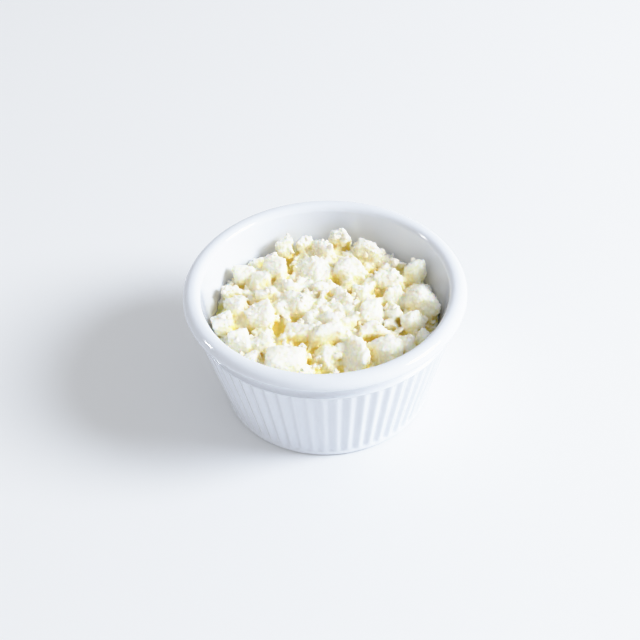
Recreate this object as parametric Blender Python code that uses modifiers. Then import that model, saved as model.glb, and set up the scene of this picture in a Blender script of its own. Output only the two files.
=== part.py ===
"""A white reeded ramekin, heaped with crumbled feta.

The dish stands on its foot ring with the origin at the middle of its base, +Z up.
A turned wall carries sixty upright reeds under a rolled lip. The feta is one solid:
a low mound that fills the dish, with the crumbs that show on top fused to it.
"""

import itertools
import math
import random

import bmesh
import bpy
from mathutils import Matrix, Vector

MM = 0.001

# The dish
RIM_RADIUS = 41.0 * MM
DISH_HEIGHT = 39.6 * MM
LIP_ROLL = 1.5 * MM
LIP_SHOULDER = 2.8 * MM
LIP_TURN = 20  # degrees, where the shoulder meets the roll
LIP_UNDERCUT = -60
LIP_INNER_RADIUS = 35.8 * MM
LIP_INNER_ROLL = 2.2 * MM
NECK_RADIUS = 37.7 * MM
NECK_HEIGHT = 33.4 * MM
NECK_COVE = 0.9 * MM
INNER_TAPER = 0.235
FLOOR_HEIGHT = 4.0 * MM
FLOOR_FILLET = 4.5 * MM
TURN_STEPS = 72
ARC_STEP = math.radians(30)
SHARP_EDGE = math.radians(35)

# The reeds, as one band round the wall
REED_COUNT = 60
REED_TOP = 31.5 * MM
REED_BOTTOM = 2.0 * MM
REED_ROOT = 0.4 * MM
REED_TOP_RADIUS = 38.48 * MM
REED_BOTTOM_RADIUS = 31.0 * MM
REED_DEPTH = 0.6 * MM
REED_SIDES = 4
REED_BED = 1.6 * MM

# The foot
FOOT_RADIUS = 29.7 * MM
FOOT_ROLL = 1.3 * MM
FOOT_WIDTH = 3.2 * MM
FOOT_RECESS = 0.8 * MM
FOOT_TOP = 1.8 * MM
FOOT_SLOPE = 0.8 * MM

# The feta: a core, with large crumbs placed by hand and small ones between them
WALL_GAP = 0.3 * MM
MOUND_TOP = 34.6 * MM
MOUND_EDGE = 30.6 * MM
MOUND_RADIUS = 33.0 * MM
CORE_DEPTH = 3.8 * MM
CORE_STEPS = 60
CORE_RINGS = 4
SMALL_CRUMBS = 190
SMALL_CRUMB_WIDTH = (4.0 * MM, 7.2 * MM)
SMALL_CRUMB_DEPTH = (0.75, 1.1)  # shares of its width
SMALL_CRUMB_DROP = 1.8 * MM
SMALL_CRUMB_CLEARANCE = 0.33
GAP_CLEARANCE = 0.3
GOLDEN_ANGLE = math.pi * (3 - math.sqrt(5))

# The form of one crumb
LARGE_CRUMB_BULGES = 10
SMALL_CRUMB_BULGES = 4
SMALL_CRUMB_WEAR = 0.6
CORNER_LOSS = (0.1, 1.5)
CORNER_SHIFT = 0.45
BOXINESS = 3.2
MOST_LEAN = 20
CRUMB_ROOT = 1.0 * MM
NUDGE = 0.02 * MM
SEED = 7

# The crumbs that stand out: x, y, top, width and depth in millimetres, turn in degrees,
# and how worn the corners are, from 0 to 1
LARGE_CRUMBS = (
    # the far side, from left to right
    (-23.8, 15.8, 33.8, 7.2, 7.0, 10, 0.4),
    (-18.8, 12.0, 34.6, 7.0, 8.0, 20, 0.4),
    (-14.6, 16.8, 35.2, 9.6, 10.0, -15, 0.5),
    (-11.4, 26.4, 35.0, 7.2, 5.5, 35, 1.0),
    (-5.4, 28.4, 34.6, 6.0, 5.5, 10, 0.8),
    (0.2, 25.2, 35.0, 8.0, 7.0, -20, 0.7),
    (5.4, 29.0, 36.4, 7.4, 6.0, 15, 1.0),
    (14.4, 24.2, 35.2, 12.0, 7.5, -25, 1.0),
    (21.8, 18.4, 32.6, 5.0, 5.0, 30, 0.6),
    (27.4, 12.6, 36.0, 6.2, 5.5, 40, 0.35),
    # the middle
    (-3.6, 14.4, 35.2, 13.4, 11.0, 5, 0.6),
    (8.1, 14.0, 35.2, 10.0, 11.5, 60, 0.6),
    (18.9, 9.4, 34.6, 9.2, 8.4, 20, 0.6),
    (-17.6, 5.2, 34.4, 8.0, 6.0, 20, 0.6),
    (-9.4, 7.4, 34.6, 7.0, 5.4, 0, 0.7),
    (-1.2, 6.4, 34.6, 7.2, 4.8, -10, 0.7),
    (10.8, 4.6, 34.8, 6.4, 6.0, 30, 0.6),
    (20.2, 3.4, 33.8, 7.0, 5.6, 15, 0.6),
    (-19.0, -3.8, 35.0, 8.4, 10.0, 6, 0.4),
    (-12.6, -1.6, 34.0, 5.0, 4.6, 40, 0.7),
    (-6.4, -0.4, 35.0, 13.4, 8.6, -8, 0.7),
    (5.0, 1.2, 35.2, 8.4, 7.6, 25, 0.6),
    (12.8, -4.6, 34.8, 8.4, 7.6, 50, 0.5),
    (19.6, -4.8, 34.0, 6.0, 6.5, 10, 0.6),
    (1.4, -7.6, 34.6, 7.6, 5.4, 0, 0.5),
    (6.6, -8.4, 34.2, 5.2, 4.6, 20, 0.5),
    (-8.6, -10.4, 33.4, 7.8, 6.0, -10, 0.4),
    (13.6, -11.4, 34.2, 11.6, 6.4, 8, 0.6),
    # the right edge
    (28.6, 0.4, 36.4, 10.0, 12.8, 12, 0.45),
    (24.8, -7.8, 34.4, 8.2, 6.4, 25, 0.5),
    (22.2, -16.0, 33.0, 5.8, 6.5, -30, 0.6),
    (27.4, -14.4, 32.6, 5.6, 5.0, 40, 0.7),
    # the left edge
    (-28.0, 8.8, 33.2, 6.6, 6.4, 40, 1.0),
    (-25.8, 0.4, 34.2, 6.8, 10.4, 5, 0.6),
    (-30.4, -6.2, 34.2, 7.2, 7.4, 15, 0.7),
    (-24.6, -13.2, 33.6, 8.8, 8.4, 30, 0.5),
    # the near side
    (-18.0, -14.8, 33.8, 7.8, 6.4, -20, 0.5),
    (-20.8, -20.4, 33.0, 7.0, 6.0, 35, 0.5),
    (-11.8, -22.8, 34.8, 12.2, 8.6, -4, 0.2),
    (0.4, -13.0, 34.8, 10.6, 5.4, 2, 0.25),
    (-0.2, -19.6, 32.0, 7.6, 10.0, 8, 0.4),
    (7.9, -21.4, 34.8, 8.4, 12.4, 4, 0.5),
    (16.2, -19.6, 34.6, 9.8, 8.6, 24, 0.4),
)

# The open gaps between them, where no small crumb lies: x, y and reach in millimetres
GAPS = (
    (-11.0, 22.5, 1.8),
    (-10.1, 17.2, 1.5),
    (2.6, 11.4, 1.7),
    (6.5, 20.0, 1.3),
    (15.8, 16.6, 1.9),
    (15.7, 4.8, 1.5),
    (8.4, 6.4, 1.3),
    (20.8, -2.4, 1.3),
    (-25.0, 12.4, 1.2),
    (-13.8, -8.0, 2.3),
    (-8.6, -4.8, 1.3),
    (-26.6, -7.4, 1.3),
    (-21.9, -8.2, 1.5),
    (-7.4, -14.4, 1.9),
    (-3.0, -17.2, 1.9),
    (1.6, -16.4, 1.2),
    (-5.0, -21.6, 0.8),
    (3.4, -24.6, 1.3),
    (-1.2, -26.4, 1.9),
    (12.6, -15.4, 2.2),
    (14.2, -25.4, 1.5),
    (20.6, -18.4, 1.3),
    (29.4, -8.4, 1.4),
    (-31.6, 6.0, 1.3),
    (-31.4, 2.0, 1.5),
    (-31.0, -1.6, 1.2),
)


def clear_scene():
    for item in list(bpy.data.objects):
        bpy.data.objects.remove(item)


def new_collection(name):
    made = bpy.data.collections.new(name)
    bpy.context.scene.collection.children.link(made)
    return made


def plain_material(name, colour, roughness):
    made = bpy.data.materials.new(name)
    made.use_nodes = True
    shader = made.node_tree.nodes["Principled BSDF"]
    shader.inputs["Base Color"].default_value = (*colour, 1.0)
    shader.inputs["Roughness"].default_value = roughness
    return made


def new_object(name, mesh, collection, material=None):
    made = bpy.data.objects.new(name, mesh)
    collection.objects.link(made)
    if material:
        mesh.materials.append(material)
    return made


def mesh_of(form, name):
    """The finished bmesh as a mesh, with its faces pointing out."""
    bmesh.ops.recalc_face_normals(form, faces=form.faces)
    mesh = bpy.data.meshes.new(name)
    form.to_mesh(mesh)
    form.free()
    return mesh


def apply_modifiers(item):
    bpy.context.view_layer.update()
    graph = bpy.context.evaluated_depsgraph_get()
    made = bpy.data.meshes.new_from_object(item.evaluated_get(graph))
    item.modifiers.clear()
    item.data = made


# ---- the turned dish ----


def arc(centre_r, centre_z, radius, start, end):
    """Points of an arc in the profile's plane, from one angle in degrees to another."""
    sweep = math.radians(end - start)
    steps = max(1, round(abs(sweep) / ARC_STEP))
    angles = [math.radians(start) + sweep * i / steps for i in range(steps + 1)]
    return [(centre_r + radius * math.cos(a), centre_z + radius * math.sin(a)) for a in angles]


def inner_radius(z):
    """Radius of the dish's inside wall at a height."""
    lip_edge = DISH_HEIGHT - LIP_INNER_ROLL
    return LIP_INNER_RADIUS - (lip_edge - z) * INNER_TAPER


def reed_crest(z):
    """Radius that the reeds reach at a height."""
    share = (z - REED_BOTTOM) / (REED_TOP - REED_BOTTOM)
    return REED_BOTTOM_RADIUS + share * (REED_TOP_RADIUS - REED_BOTTOM_RADIUS)


def inside_profile(gap=0.0):
    """The dish's inside from the middle of its floor to the lip, drawn in by a gap."""
    fillet_top = FLOOR_HEIGHT + FLOOR_FILLET
    fillet_centre = inner_radius(fillet_top) - FLOOR_FILLET
    points = [(0.0, FLOOR_HEIGHT + gap)]
    points += arc(fillet_centre, fillet_top, FLOOR_FILLET - gap, -90, 0)
    return points


def lip_arcs():
    """The lip's outside: a wide shoulder that turns into a tighter roll."""
    turn = math.radians(LIP_TURN)
    apart = LIP_SHOULDER - LIP_ROLL
    roll_r = RIM_RADIUS - LIP_ROLL
    shoulder_z = DISH_HEIGHT - LIP_SHOULDER
    points = arc(roll_r - apart * math.cos(turn), shoulder_z, LIP_SHOULDER, 90, LIP_TURN)
    roll_z = shoulder_z + apart * math.sin(turn)
    return points + arc(roll_r, roll_z, LIP_ROLL, LIP_TURN, LIP_UNDERCUT)[1:]


def dish_profile():
    """Half of the dish's section: the floor, up the inside, over the lip, down the outside, under."""
    inner_top = DISH_HEIGHT - LIP_INNER_ROLL
    points = inside_profile()
    points += arc(LIP_INNER_RADIUS + LIP_INNER_ROLL, inner_top, LIP_INNER_ROLL, 180, 90)
    points += lip_arcs()
    points.append((NECK_RADIUS + NECK_COVE, NECK_HEIGHT + 2 * NECK_COVE))
    points.append((NECK_RADIUS, NECK_HEIGHT + NECK_COVE))
    points.append((NECK_RADIUS, REED_TOP))
    points.append((FOOT_RADIUS + FOOT_ROLL - FOOT_SLOPE, FOOT_TOP + FOOT_SLOPE))
    points.append((FOOT_RADIUS + FOOT_ROLL, FOOT_TOP))
    points += arc(FOOT_RADIUS, FOOT_ROLL, FOOT_ROLL, 0, -90)
    points.append((FOOT_RADIUS - FOOT_WIDTH, 0.0))
    points.append((FOOT_RADIUS - FOOT_WIDTH - FOOT_RECESS, FOOT_RECESS))
    points.append((0.0, FOOT_RECESS))
    return points


def turned(name, profile, steps, collection, material=None):
    """A profile of (radius, height) points turned round Z."""
    form = bmesh.new()
    corners = [form.verts.new((r, 0.0, z)) for r, z in profile]
    for first, second in zip(corners, corners[1:]):
        form.edges.new((first, second))
    mesh = bpy.data.meshes.new(name)
    form.to_mesh(mesh)
    form.free()
    made = new_object(name, mesh, collection, material)
    screw = made.modifiers.new("turn", "SCREW")
    screw.steps = steps
    screw.render_steps = steps
    screw.use_merge_vertices = True
    screw.merge_threshold = 1e-5
    apply_modifiers(made)
    return made


def reed_band(collection):
    """A ring of upright reeds, whose inner side lies inside the wall and lower end in the foot."""
    form = bmesh.new()
    root = REED_BOTTOM - REED_ROOT
    section = []
    for z, radius in (
        (root, reed_crest(root)),
        (REED_TOP, reed_crest(REED_TOP)),
        (REED_TOP, reed_crest(REED_TOP) - REED_BED),
        (root, reed_crest(root) - REED_BED),
    ):
        section.append(form.verts.new((radius, 0.0, z)))
    edges = [form.edges.new((section[i], section[(i + 1) % 4])) for i in range(4)]
    bmesh.ops.spin(
        form,
        geom=section + edges,
        cent=(0, 0, 0),
        axis=(0, 0, 1),
        angle=math.tau,
        steps=REED_COUNT * REED_SIDES,
        use_merge=True,
    )
    bmesh.ops.remove_doubles(form, verts=form.verts, dist=1e-6)
    for corner in form.verts:
        radius = math.hypot(corner.co.x, corner.co.y)
        if radius < reed_crest(corner.co.z) - REED_BED / 2:
            continue
        wave = math.cos(math.atan2(corner.co.y, corner.co.x) * REED_COUNT)
        sunk = REED_DEPTH * (0.5 + 0.5 * wave)
        scale = (radius - sunk) / radius
        corner.co.x *= scale
        corner.co.y *= scale
    return new_object("reed_band", mesh_of(form, "reed_band"), collection)


def make_dish(parts, helpers, material):
    dish = turned("ramekin", dish_profile(), TURN_STEPS, parts, material)
    band = reed_band(helpers)
    union = dish.modifiers.new("reeds", "BOOLEAN")
    union.operation = "UNION"
    union.object = band
    apply_modifiers(dish)
    bpy.data.objects.remove(band)
    dish.data.shade_smooth()
    dish.data.set_sharp_from_angle(angle=SHARP_EDGE)
    return dish


# ---- the heap of feta ----


def mound_height(radius):
    """Height that the crumbs' tops keep to, from the middle of the heap to its edge."""
    fall = min(1.0, radius / MOUND_RADIUS) ** 2
    return MOUND_TOP - fall * (MOUND_TOP - MOUND_EDGE)


def core_profile():
    """Half of the core's section, from the middle of its top down to the middle of the dish."""
    top = []
    rim = inner_radius(MOUND_EDGE - CORE_DEPTH) - WALL_GAP
    for i in range(CORE_RINGS + 1):
        radius = rim * i / CORE_RINGS
        top.append((radius, mound_height(radius) - CORE_DEPTH))
    return top + list(reversed(inside_profile(WALL_GAP)))


def small_crumb_places():
    """Crumbs between the large ones, evenly spread on a sunflower spiral."""
    draw = random.Random(SEED)
    places = []
    for i in range(SMALL_CRUMBS):
        radius = MOUND_RADIUS * math.sqrt((i + 0.5) / SMALL_CRUMBS)
        angle = i * GOLDEN_ANGLE
        x = radius * math.cos(angle)
        y = radius * math.sin(angle)
        width = draw.uniform(*SMALL_CRUMB_WIDTH)
        depth = width * draw.uniform(*SMALL_CRUMB_DEPTH)
        top = mound_height(radius) - draw.uniform(0.0, SMALL_CRUMB_DROP)
        turn = draw.uniform(0, 90)
        if not under_large_crumb(x, y, width) and not in_gap(x, y, width):
            places.append((x, y, top, width, depth, turn, SMALL_CRUMB_WEAR))
    return places


def under_large_crumb(x, y, width):
    """Whether a large crumb takes this place."""
    for large_x, large_y, _, large_width, large_depth, _, _ in LARGE_CRUMBS:
        apart = math.hypot(x - large_x * MM, y - large_y * MM)
        if apart < SMALL_CRUMB_CLEARANCE * (width + (large_width + large_depth) / 2 * MM):
            return True
    return False


def in_gap(x, y, width):
    """Whether a crumb of this width would stop up one of the gaps."""
    for gap_x, gap_y, reach in GAPS:
        apart = math.hypot(x - gap_x * MM, y - gap_y * MM)
        if apart < reach * MM + GAP_CLEARANCE * width:
            return True
    return False


def large_crumb_places():
    return [(x * MM, y * MM, top * MM, wide * MM, deep * MM, turn, wear)
            for x, y, top, wide, deep, turn, wear in LARGE_CRUMBS]


def crumb(place, number):
    """A crumb with a few flat broken faces: the hull of a worn box and of uneven bulges."""
    x, y, top, width, depth, turn, wear = place
    draw = random.Random(SEED * 1000 + number)
    core_top = mound_height(math.hypot(x, y)) - CORE_DEPTH
    height = max((width + depth) / 2, top - core_top + CRUMB_ROOT)
    form = bmesh.new()
    loss = min(1.0, CORNER_LOSS[0] + CORNER_LOSS[1] * wear)
    for sides in itertools.product((-0.5, 0.5), repeat=3):
        form.verts.new([side * (1 - loss * draw.random()) for side in sides])
    bulges = LARGE_CRUMB_BULGES if number < len(LARGE_CRUMBS) else SMALL_CRUMB_BULGES
    for i in range(bulges):
        level = 1 - (2 * i + 1) / bulges
        ring = math.sqrt(1 - level * level)
        angle = i * GOLDEN_ANGLE
        corner = Vector((ring * math.cos(angle), ring * math.sin(angle), level))
        corner += Vector([draw.uniform(-CORNER_SHIFT, CORNER_SHIFT) for _ in range(3)])
        reach = sum(abs(part) ** BOXINESS for part in corner) ** (1 / BOXINESS)
        form.verts.new(corner / reach / 2)
    bmesh.ops.convex_hull(form, input=form.verts)
    fill_unit_box(form)
    most_lean = MOST_LEAN * wear
    lean = Matrix.Rotation(math.radians(draw.uniform(-most_lean, most_lean)), 4, "X")
    spin = Matrix.Rotation(math.radians(turn), 4, "Z")
    size = Matrix.Diagonal((width, depth, height, 1.0))
    bmesh.ops.transform(form, matrix=spin @ lean @ size, verts=form.verts)
    lift = top - max(corner.co.z for corner in form.verts)
    bmesh.ops.translate(form, vec=(x, y, lift), verts=form.verts)
    keep_in_dish(form, x, y)
    return mesh_of(form, f"crumb_{number}")


def fill_unit_box(form):
    """Stretches a form so that it just fills a box one unit wide about the origin."""
    for axis in range(3):
        low = min(corner.co[axis] for corner in form.verts)
        high = max(corner.co[axis] for corner in form.verts)
        for corner in form.verts:
            corner.co[axis] = (corner.co[axis] - low) / (high - low) - 0.5


def reach_past_wall(form):
    """How far the form's corners reach past the space inside the dish's wall."""
    corners = [corner.co for corner in form.verts]
    return max(math.hypot(c.x, c.y) - inner_radius(c.z) + WALL_GAP for c in corners)


def keep_in_dish(form, x, y):
    """Moves a crumb towards the middle until it clears the dish's wall."""
    inward = -Vector((x, y, 0.0)).normalized()
    while reach_past_wall(form) > 0:
        step = reach_past_wall(form) + NUDGE
        bmesh.ops.translate(form, vec=inward * step, verts=form.verts)


def drop_loose_shells(mesh):
    """Keeps the one outer skin: a sealed hollow between crumbs and any loose scrap go."""
    form = bmesh.new()
    form.from_mesh(mesh)
    left = set(form.faces)
    shells = []
    while left:
        shell = set()
        to_visit = [left.pop()]
        while to_visit:
            face = to_visit.pop()
            shell.add(face)
            beside = {other for edge in face.edges for other in edge.link_faces} & left
            left -= beside
            to_visit += beside
        shells.append(shell)
    shells.sort(key=len)
    for shell in shells[:-1]:
        bmesh.ops.delete(form, geom=list(shell), context="FACES")
    form.to_mesh(mesh)
    form.free()


def make_feta(parts, helpers, material):
    heap = turned("feta", core_profile(), CORE_STEPS, parts, material)
    for number, place in enumerate(large_crumb_places() + small_crumb_places()):
        new_object(f"crumb_{number}", crumb(place, number), helpers)
    union = heap.modifiers.new("crumbs", "BOOLEAN")
    union.operation = "UNION"
    union.operand_type = "COLLECTION"
    union.collection = helpers
    apply_modifiers(heap)
    for item in list(helpers.objects):
        bpy.data.objects.remove(item)
    drop_loose_shells(heap.data)
    return heap


def main():
    clear_scene()
    parts = new_collection("bowl_of_feta")
    helpers = new_collection("helpers")
    glaze = plain_material("white_melamine", (0.80, 0.83, 0.88), 0.15)
    cheese = plain_material("feta_white", (0.93, 0.90, 0.76), 0.6)
    make_dish(parts, helpers, glaze)
    make_feta(parts, helpers, cheese)


main()
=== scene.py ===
# %% [markdown]
# A small white ramekin, heaped with crumbled feta.
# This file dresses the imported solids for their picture: it loads them, sets the camera, and then
# replaces each solid with finer pieces of the same form and size. The solids stay hidden
# underneath for collision. Everything is in metres, with +Z up and the origin under the dish.

import itertools
import math
import random
from collections import namedtuple

import bmesh
import bpy
import numpy as np
from mathutils import Matrix, Vector, noise
from mathutils.bvhtree import BVHTree


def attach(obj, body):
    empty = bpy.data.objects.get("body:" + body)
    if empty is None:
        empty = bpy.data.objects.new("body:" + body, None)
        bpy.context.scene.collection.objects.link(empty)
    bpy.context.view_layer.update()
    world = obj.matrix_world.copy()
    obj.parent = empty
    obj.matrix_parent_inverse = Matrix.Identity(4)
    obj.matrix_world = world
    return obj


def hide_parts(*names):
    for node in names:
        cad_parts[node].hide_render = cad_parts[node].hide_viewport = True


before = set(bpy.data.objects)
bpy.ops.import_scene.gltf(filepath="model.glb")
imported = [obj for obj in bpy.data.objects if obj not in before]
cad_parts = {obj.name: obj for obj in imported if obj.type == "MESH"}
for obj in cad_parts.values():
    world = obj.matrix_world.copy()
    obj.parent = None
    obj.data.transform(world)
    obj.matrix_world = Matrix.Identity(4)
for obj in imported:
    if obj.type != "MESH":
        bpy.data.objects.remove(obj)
bpy.context.view_layer.update()
scene = bpy.context.scene
MM = 0.001

# %% [markdown]
# The camera comes first, because everything is compared with the photograph through it.
# It could be aimed with a Track To constraint, but the picture is also slightly rolled, so the
# place, the downward angle and the roll are given outright. The long lens keeps the dish's
# sides nearly parallel.

# %% Camera
CAMERA_PLACE = (-1.703 * MM, -295.134 * MM, 292.787 * MM)
CAMERA_DROP = 42.17
CAMERA_ROLL = -2.2345
CAMERA_LENS = 76.04
CAMERA_SENSOR = 36.0
NEAREST_SEEN = 10 * MM

camera = bpy.data.objects.new("camera", bpy.data.cameras.new("camera"))
scene.collection.objects.link(camera)
camera.data.lens = CAMERA_LENS
camera.data.sensor_width = CAMERA_SENSOR
camera.data.clip_start = NEAREST_SEEN
tip = Matrix.Rotation(math.radians(90 - CAMERA_DROP), 4, "X")
roll = Matrix.Rotation(math.radians(CAMERA_ROLL), 4, "Z")
camera.matrix_world = Matrix.Translation(CAMERA_PLACE) @ tip @ roll
scene.camera = camera
print("camera looks down", CAMERA_DROP, "degrees through a lens of", CAMERA_LENS, "mm")

# %% [markdown]
# A finish is built from small named steps. The first helper adds a node and sets its values, so
# that a material reads from top to bottom like a recipe: a linked value is given as a socket,
# and a plain one as a number. The others wrap the few steps that come up again and again.

# %% Helpers for materials


def add_node(tree, kind, settings=None, **inputs):
    """A new node: its own settings by name, then its sockets, given as numbers or as outputs."""
    node = tree.nodes.new(kind)
    for name, value in (settings or {}).items():
        setattr(node, name, value)
    for name, value in inputs.items():
        socket = node.inputs[name.replace("_", " ")]
        if isinstance(value, bpy.types.NodeSocket):
            tree.links.new(value, socket)
        else:
            socket.default_value = value
    return node


def ramp(tree, factor, stops):
    """A colour ramp through (place, colour) stops."""
    node = add_node(tree, "ShaderNodeValToRGB", Fac=factor)
    elements = node.color_ramp.elements
    while len(elements) < len(stops):
        elements.new(0.5)
    for element, (place, colour) in zip(elements, stops):
        element.position = place
        element.color = (*colour, 1.0)
    return node.outputs["Color"]


def add_values(tree, first, second):
    """first + second."""
    node = add_node(tree, "ShaderNodeMath", {"operation": "ADD"})
    tree.links.new(first, node.inputs[0])
    tree.links.new(second, node.inputs[1])
    return node.outputs[0]


def scale_and_shift(tree, value, by, plus):
    """value * by + plus."""
    node = add_node(tree, "ShaderNodeMath", {"operation": "MULTIPLY_ADD"})
    tree.links.new(value, node.inputs[0])
    node.inputs[1].default_value = by
    node.inputs[2].default_value = plus
    return node.outputs[0]


def stored_value(tree, name):
    """A value that a mesh carries under this name, one for each corner."""
    return add_node(tree, "ShaderNodeAttribute", {"attribute_name": name}).outputs["Fac"]


def new_material(name):
    """A material with a Principled shader."""
    material = bpy.data.materials.new(name)
    material.use_nodes = True
    return material, material.node_tree, material.node_tree.nodes["Principled BSDF"]


print("material helpers ready")

# %% [markdown]
# The finishes share one effect: a surface that isn't quite even, whether it is glaze, curd or
# table top. It could be copied into each material, but a node group is built once and placed
# with each material's own values. This one mixes a broad noise with a fine one, both read in
# object space so that the pattern stays on the piece from every side.

# %% Shared effect: unevenness
# the mixed noise mostly keeps between these two
NOISE_LOW = 0.3
NOISE_HIGH = 0.7


def unevenness_group():
    """Broad and fine noise, mixed: how light or dark, and how high or low, a spot is."""
    group = bpy.data.node_groups.new("unevenness", "ShaderNodeTree")
    for label in ("Broad scale", "Fine scale", "Fine share"):
        group.interface.new_socket(label, in_out="INPUT", socket_type="NodeSocketFloat")
    group.interface.new_socket("Amount", in_out="OUTPUT", socket_type="NodeSocketFloat")
    given = group.nodes.new("NodeGroupInput")
    result = group.nodes.new("NodeGroupOutput")
    place = add_node(group, "ShaderNodeTexCoord").outputs["Object"]
    broad = add_node(group, "ShaderNodeTexNoise", Vector=place, Scale=given.outputs["Broad scale"],
                     Detail=3.0, Roughness=0.55)
    fine = add_node(group, "ShaderNodeTexNoise", Vector=place, Scale=given.outputs["Fine scale"],
                    Detail=2.0, Roughness=0.6)
    mixed = add_node(group, "ShaderNodeMix", Factor=given.outputs["Fine share"])
    group.links.new(broad.outputs["Fac"], mixed.inputs["A"])
    group.links.new(fine.outputs["Fac"], mixed.inputs["B"])
    group.links.new(mixed.outputs["Result"], result.inputs["Amount"])
    return group


unevenness = unevenness_group()


def add_unevenness(tree, broad, fine, share):
    """Places the shared group in a material: both noises' scales, and the fine one's share."""
    node = tree.nodes.new("ShaderNodeGroup")
    node.node_tree = unevenness
    node.inputs["Broad scale"].default_value = broad
    node.inputs["Fine scale"].default_value = fine
    node.inputs["Fine share"].default_value = share
    return node.outputs["Amount"]


print("node group:", unevenness.name)

# %% [markdown]
# The dish is moulded in one piece, so it is one turned form. It could be put together from
# cylinders and a ring, but every join would show as an edge that the real moulding doesn't have.
# Instead its half section is drawn as a row of points, to be spun round Z. Straight stretches
# need few points, while round ones are arcs with a point every few degrees, because their
# highlights show every corner. The sizes are those of the solid that it replaces.
# The inside comes first: a flat floor, a rounded corner and a wall that leans outwards.

# %% The dish's inside
DISH_HEIGHT = 39.6 * MM
LIP_INNER_RADIUS = 35.8 * MM
LIP_INNER_ROLL = 2.2 * MM
INNER_TAPER = 0.235
FLOOR_HEIGHT = 4.0 * MM
FLOOR_FILLET = 4.5 * MM
ARC_STEP = math.radians(9)


def arc(centre_r, centre_z, radius, start, end):
    """Points of an arc in the section's plane, from one angle in degrees to another."""
    sweep = math.radians(end - start)
    steps = max(1, round(abs(sweep) / ARC_STEP))
    angles = [math.radians(start) + sweep * i / steps for i in range(steps + 1)]
    return [(centre_r + radius * math.cos(a), centre_z + radius * math.sin(a)) for a in angles]


def inner_radius(z):
    """Radius of the dish's inside wall at a height, or at many heights."""
    return LIP_INNER_RADIUS - (DISH_HEIGHT - LIP_INNER_ROLL - z) * INNER_TAPER


def inside_section(gap=0.0):
    """The dish's inside from the middle of its floor up to the wall, drawn in by a gap."""
    fillet_top = FLOOR_HEIGHT + FLOOR_FILLET
    fillet_centre = inner_radius(fillet_top) - FLOOR_FILLET
    points = [(0.0, FLOOR_HEIGHT + gap)]
    return points + arc(fillet_centre, fillet_top, FLOOR_FILLET - gap, -90, 0)


print("points in the inside's section:", len(inside_section()))

# %% [markdown]
# The lip is what the light finds first. A half-round bead would be simpler, but it would catch
# one thin, hard line. The real lip has a wide, soft shoulder that tightens towards its outer
# edge, so it is two arcs with one direction where they meet: a large one, then a small one.

# %% The lip
RIM_RADIUS = 41.0 * MM
LIP_ROLL = 1.5 * MM
LIP_SHOULDER = 2.8 * MM
LIP_TURN = 20
LIP_UNDERCUT = -60


def lip_arcs():
    """The lip's outside: its shoulder down to the turn, then the roll to the undercut."""
    turn = math.radians(LIP_TURN)
    apart = LIP_SHOULDER - LIP_ROLL
    roll_r = RIM_RADIUS - LIP_ROLL
    shoulder_z = DISH_HEIGHT - LIP_SHOULDER
    points = arc(roll_r - apart * math.cos(turn), shoulder_z, LIP_SHOULDER, 90, LIP_TURN)
    roll_z = shoulder_z + apart * math.sin(turn)
    return points + arc(roll_r, roll_z, LIP_ROLL, LIP_TURN, LIP_UNDERCUT)[1:]


print("points round the lip:", len(lip_arcs()))

# %% [markdown]
# Below the lip, reeds run down the wall, with their crests on one sloping line. Two points would
# do for a straight line, but the wall is shaped later and needs rings to bend at, so the line
# gets a row of heights, close together where the reeds' ends are round.

# %% The reeds' line
REED_TOP = 31.0 * MM
REED_BOTTOM = 2.0 * MM
REED_TOP_RADIUS = 38.35 * MM
REED_BOTTOM_RADIUS = 31.0 * MM
REED_END = 0.7 * MM
REED_FADE = 2.4 * MM
REED_ROWS = 10
REED_END_ROWS = 5


def reed_crest(z):
    """Radius that the reeds reach at a height."""
    share = (z - REED_BOTTOM) / (REED_TOP - REED_BOTTOM)
    return REED_BOTTOM_RADIUS + share * (REED_TOP_RADIUS - REED_BOTTOM_RADIUS)


def reed_heights():
    """Heights of the rings down the reeds, closer together at their rounded ends."""
    angles = [math.radians(90 * i / REED_END_ROWS) for i in range(REED_END_ROWS + 1)]
    shares = [1 - math.cos(angle) for angle in angles]
    first = REED_TOP - REED_END
    last = REED_BOTTOM + REED_FADE
    between = [first + (last - first) * i / REED_ROWS for i in range(1, REED_ROWS)]
    upper = [REED_TOP - REED_END * share for share in shares]
    return upper + between + [REED_BOTTOM + REED_FADE * share for share in reversed(shares)]


print("rings down the reeds:", len(reed_heights()))

# %% [markdown]
# Now the parts are strung into one line: the inside, the lip, a smooth neck, a small ledge, the
# reeds' line and the foot ring round its recess. It runs from the axis back to the axis. A
# Solidify modifier could thicken a single wall, but this wall's two sides differ in form.

# %% The whole section
NECK_RADIUS = 37.7 * MM
NECK_HEIGHT = 33.4 * MM
NECK_COVE = 0.9 * MM
LEDGE_HEIGHT = 31.5 * MM
LEDGE_ROLL = 0.25 * MM
FOOT_RADIUS = 29.7 * MM
FOOT_ROLL = 1.3 * MM
FOOT_WIDTH = 3.2 * MM
FOOT_RECESS = 0.8 * MM


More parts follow.
